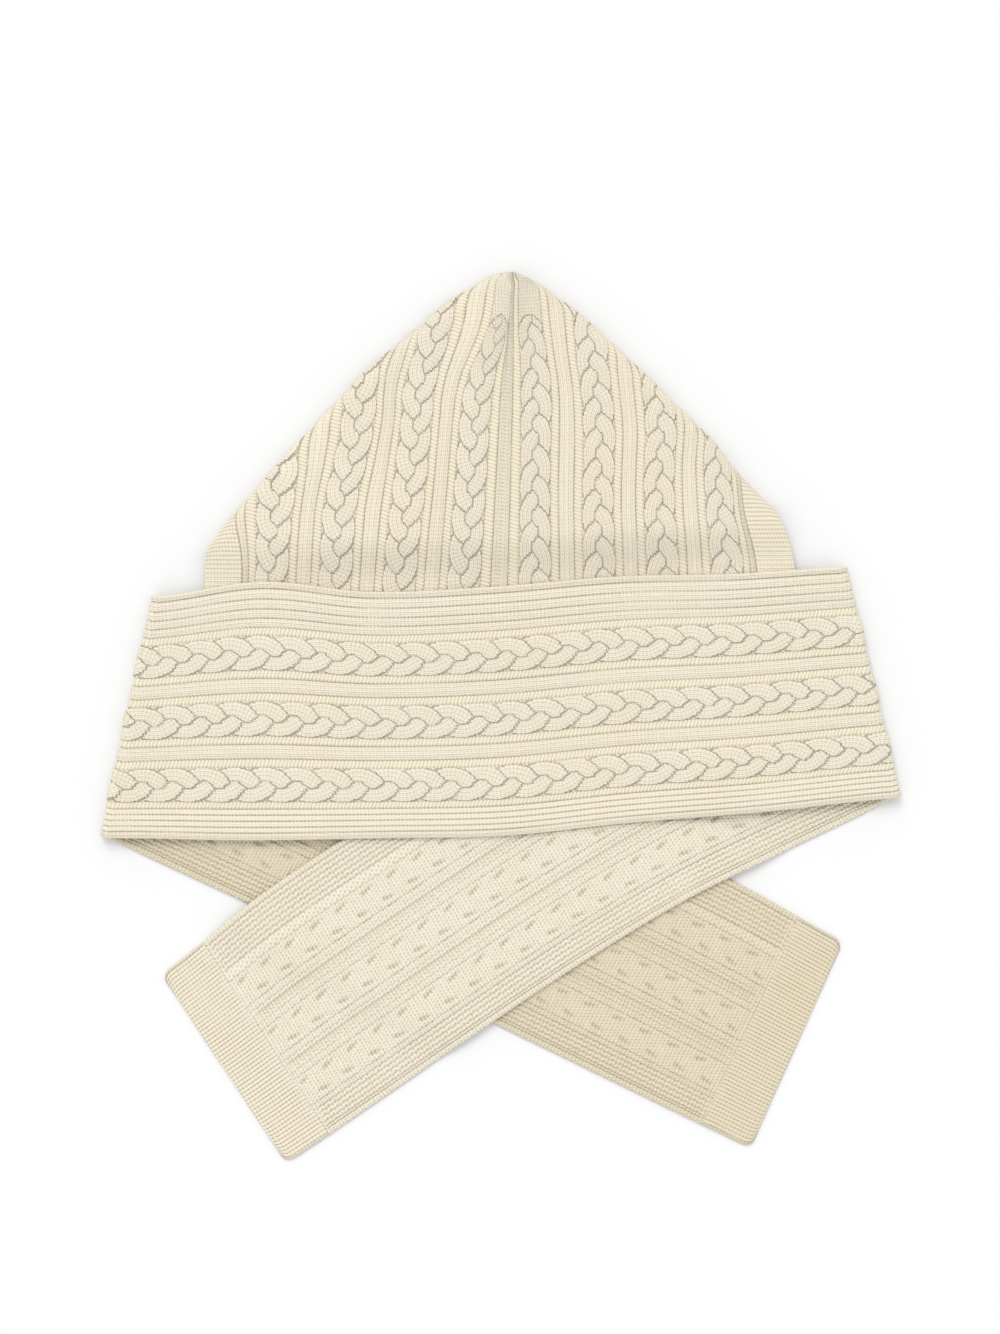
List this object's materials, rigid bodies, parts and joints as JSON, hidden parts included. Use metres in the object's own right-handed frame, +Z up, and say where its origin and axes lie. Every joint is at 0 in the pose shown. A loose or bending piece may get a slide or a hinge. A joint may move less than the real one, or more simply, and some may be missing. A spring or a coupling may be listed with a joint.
{
  "type": "snood hood",
  "caption": "Cable-knit snood hood with a long scarf strip, laid flat with its back up and the two tails crossed underneath.",
  "frame": {"origin": "middle of the laid outline, on the surface it lies on", "axes": "+Z up, +Y from the tails towards the tip of the hood, +X to the right of someone looking down at it"},
  "size_m": [0.7204, 0.803, 0.0338],
  "materials": {
    "cable_knit": "matt wool",
    "rib_knit": "matt wool"
  },
  "bodies": {
    "root": {"hood_panel": "cable_knit", "face_trim": "rib_knit", "scarf_band": "cable_knit", "left_tail": "cable_knit", "right_tail": "cable_knit", "left_end_rib": "rib_knit", "right_end_rib": "rib_knit"}
  },
  "joints": []
}
